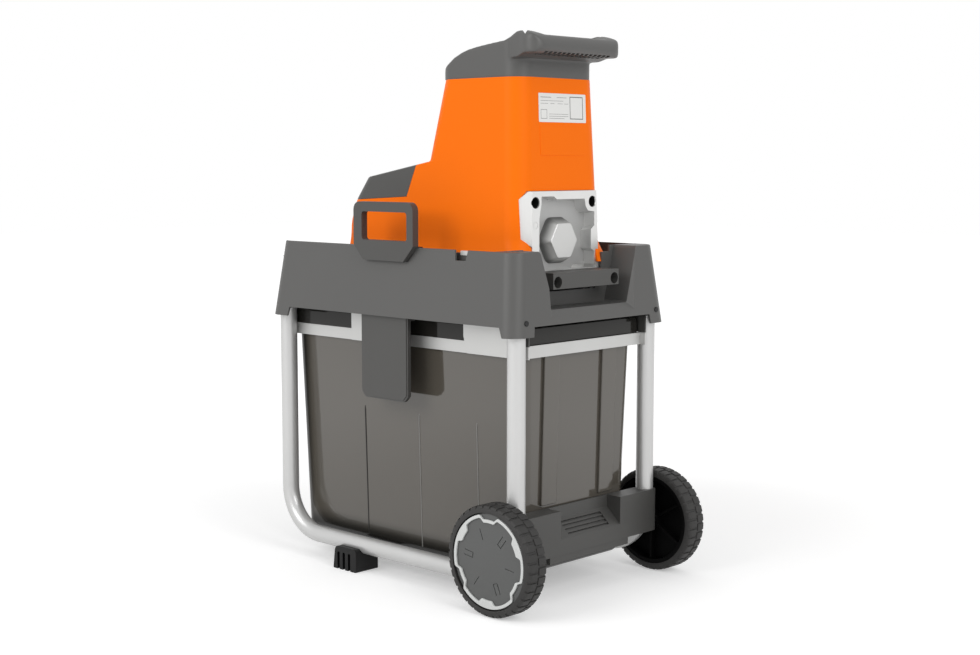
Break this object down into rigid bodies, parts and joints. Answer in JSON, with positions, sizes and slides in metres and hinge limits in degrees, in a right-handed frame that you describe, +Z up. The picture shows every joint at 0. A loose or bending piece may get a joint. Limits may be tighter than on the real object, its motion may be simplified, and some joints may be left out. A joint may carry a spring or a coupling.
{
  "type": "garden shredder",
  "caption": "Upright electric garden shredder on a wheeled tube frame, with a tall feed hopper, a gear-driven cutting drum and a slide-out collection box",
  "frame": {"origin": "on the floor under the middle of the shredder", "axes": "+Z up, +Y towards the wheels and the push handle, +X towards the latch slider"},
  "size_m": [0.451, 0.6676, 0.9221],
  "materials": {
    "tube": "satin anodised",
    "black_plastic": "fine grain",
    "grey_plastic": "fine grain",
    "steel": "machined",
    "black_steel": "black oxide",
    "tyre": "matt",
    "silver_plastic": "satin",
    "smoked_plastic": "glossy",
    "orange_plastic": "satin",
    "label": "blank film",
    "cast_metal": "die cast",
    "copper": "enamelled wire",
    "bronze": "sintered",
    "can": "satin",
    "green_plastic": "satin",
    "red_plastic": "satin"
  },
  "bodies": {
    "frame": {"frame_tube_right": "tube", "frame_tube_left": "tube", "side_rail_right": "tube", "side_rail_left": "tube", "rear_bar": "tube", "foot_right": "black_plastic", "foot_left": "black_plastic", "axle_carrier": "grey_plastic", "axle": "steel", "axle_clips": "steel", "deck": "grey_plastic", "deck_screws": "black_steel", "hopper_body": "orange_plastic", "hopper_collar": "grey_plastic", "feed_chute": "black_plastic", "motor_cover": "grey_plastic", "rating_plate": "label", "cutter_housing": "cast_metal", "cutter_cover": "cast_metal", "cover_bolts": "black_steel", "clamp_bar": "grey_plastic", "clamp_screws": "black_steel", "drum_bearings": "steel", "gear_case": "cast_metal", "idler_bushes": "bronze", "motor_housing": "cast_metal", "motor_end_shield": "cast_metal", "motor_stator": "steel", "motor_windings": "copper", "motor_bearings": "steel", "capacitor": "can", "switch_panel": "black_plastic", "inlet_socket": "grey_plastic"},
    "wheel_right": {"tyre_right": "tyre", "hub_right": "black_plastic", "hub_cap_right": "grey_plastic", "hub_ring_right": "silver_plastic"},
    "wheel_left": {"tyre_left": "tyre", "hub_left": "black_plastic", "hub_cap_left": "grey_plastic", "hub_ring_left": "silver_plastic"},
    "drawer": {"collection_box": "smoked_plastic"},
    "latch": {"latch_slider": "grey_plastic"},
    "drum": {"cutting_drum": "steel", "drum_shaft": "steel", "output_gear": "steel"},
    "idler": {"idler_shaft": "steel", "idler_gear": "steel"},
    "rotor": {"motor_rotor": "steel", "motor_shaft": "steel", "cooling_fan": "black_plastic"},
    "adjuster": {"adjuster_screw": "steel", "adjuster_knob": "black_plastic"},
    "plate": {"pressure_plate": "cast_metal"},
    "start": {"start_button": "green_plastic"},
    "stop": {"stop_button": "red_plastic"},
    "rocker": {"direction_rocker": "grey_plastic"}
  },
  "joints": [
    {"name": "wheel_right_spin", "type": "hinge", "parent": "frame", "child": "wheel_right", "pos_m": [0.2, 0.24375, 0.09], "axis": [1, 0, 0], "continuous": true},
    {"name": "wheel_left_spin", "type": "hinge", "parent": "frame", "child": "wheel_left", "pos_m": [-0.2, 0.24375, 0.09], "axis": [1, 0, 0], "continuous": true},
    {"name": "box_slide", "type": "slide", "parent": "frame", "child": "drawer", "axis": [0, -1, 0], "range_m": [0, 0.5]},
    {"name": "latch_lift", "type": "slide", "parent": "frame", "child": "latch", "axis": [0, 0, 1], "range_m": [0, 0.025]},
    {"name": "rotor_spin", "type": "hinge", "parent": "frame", "child": "rotor", "pos_m": [0, -0.11, 0.625], "axis": [0, 1, 0], "continuous": true},
    {"name": "idler_spin", "type": "hinge", "parent": "frame", "child": "idler", "pos_m": [-0.04315, -0.03, 0.64163], "axis": [0, 1, 0], "continuous": true},
    {"name": "drum_spin", "type": "hinge", "parent": "frame", "child": "drum", "pos_m": [0, 0.1, 0.584], "axis": [0, 1, 0], "continuous": true},
    {"name": "adjuster_turn", "type": "hinge", "parent": "frame", "child": "adjuster", "pos_m": [-0.1, 0.10125, 0.584], "axis": [-1, 0, 0], "range_deg": [0, 721]},
    {"name": "plate_slide", "type": "slide", "parent": "frame", "child": "plate", "axis": [1, 0, 0], "range_m": [0, 0.004]},
    {"name": "start_press", "type": "slide", "parent": "frame", "child": "start", "axis": [0, 1, 0], "range_m": [0, 0.003], "stiffness_N_per_m": 300},
    {"name": "stop_press", "type": "slide", "parent": "frame", "child": "stop", "axis": [0, 1, 0], "range_m": [0, 0.003], "stiffness_N_per_m": 300},
    {"name": "rocker_tip", "type": "hinge", "parent": "frame", "child": "rocker", "pos_m": [0.009, -0.21925, 0.5831], "axis": [1, 0, 0], "range_deg": [-12, 12]}
  ],
  "couplings": [
    {"joint": "idler_spin", "follows": "rotor_spin", "ratio": -0.15625},
    {"joint": "drum_spin", "follows": "rotor_spin", "ratio": 0.03125},
    {"joint": "adjuster_turn", "follows": "plate_slide", "rad_per_m": 3141.6}
  ]
}
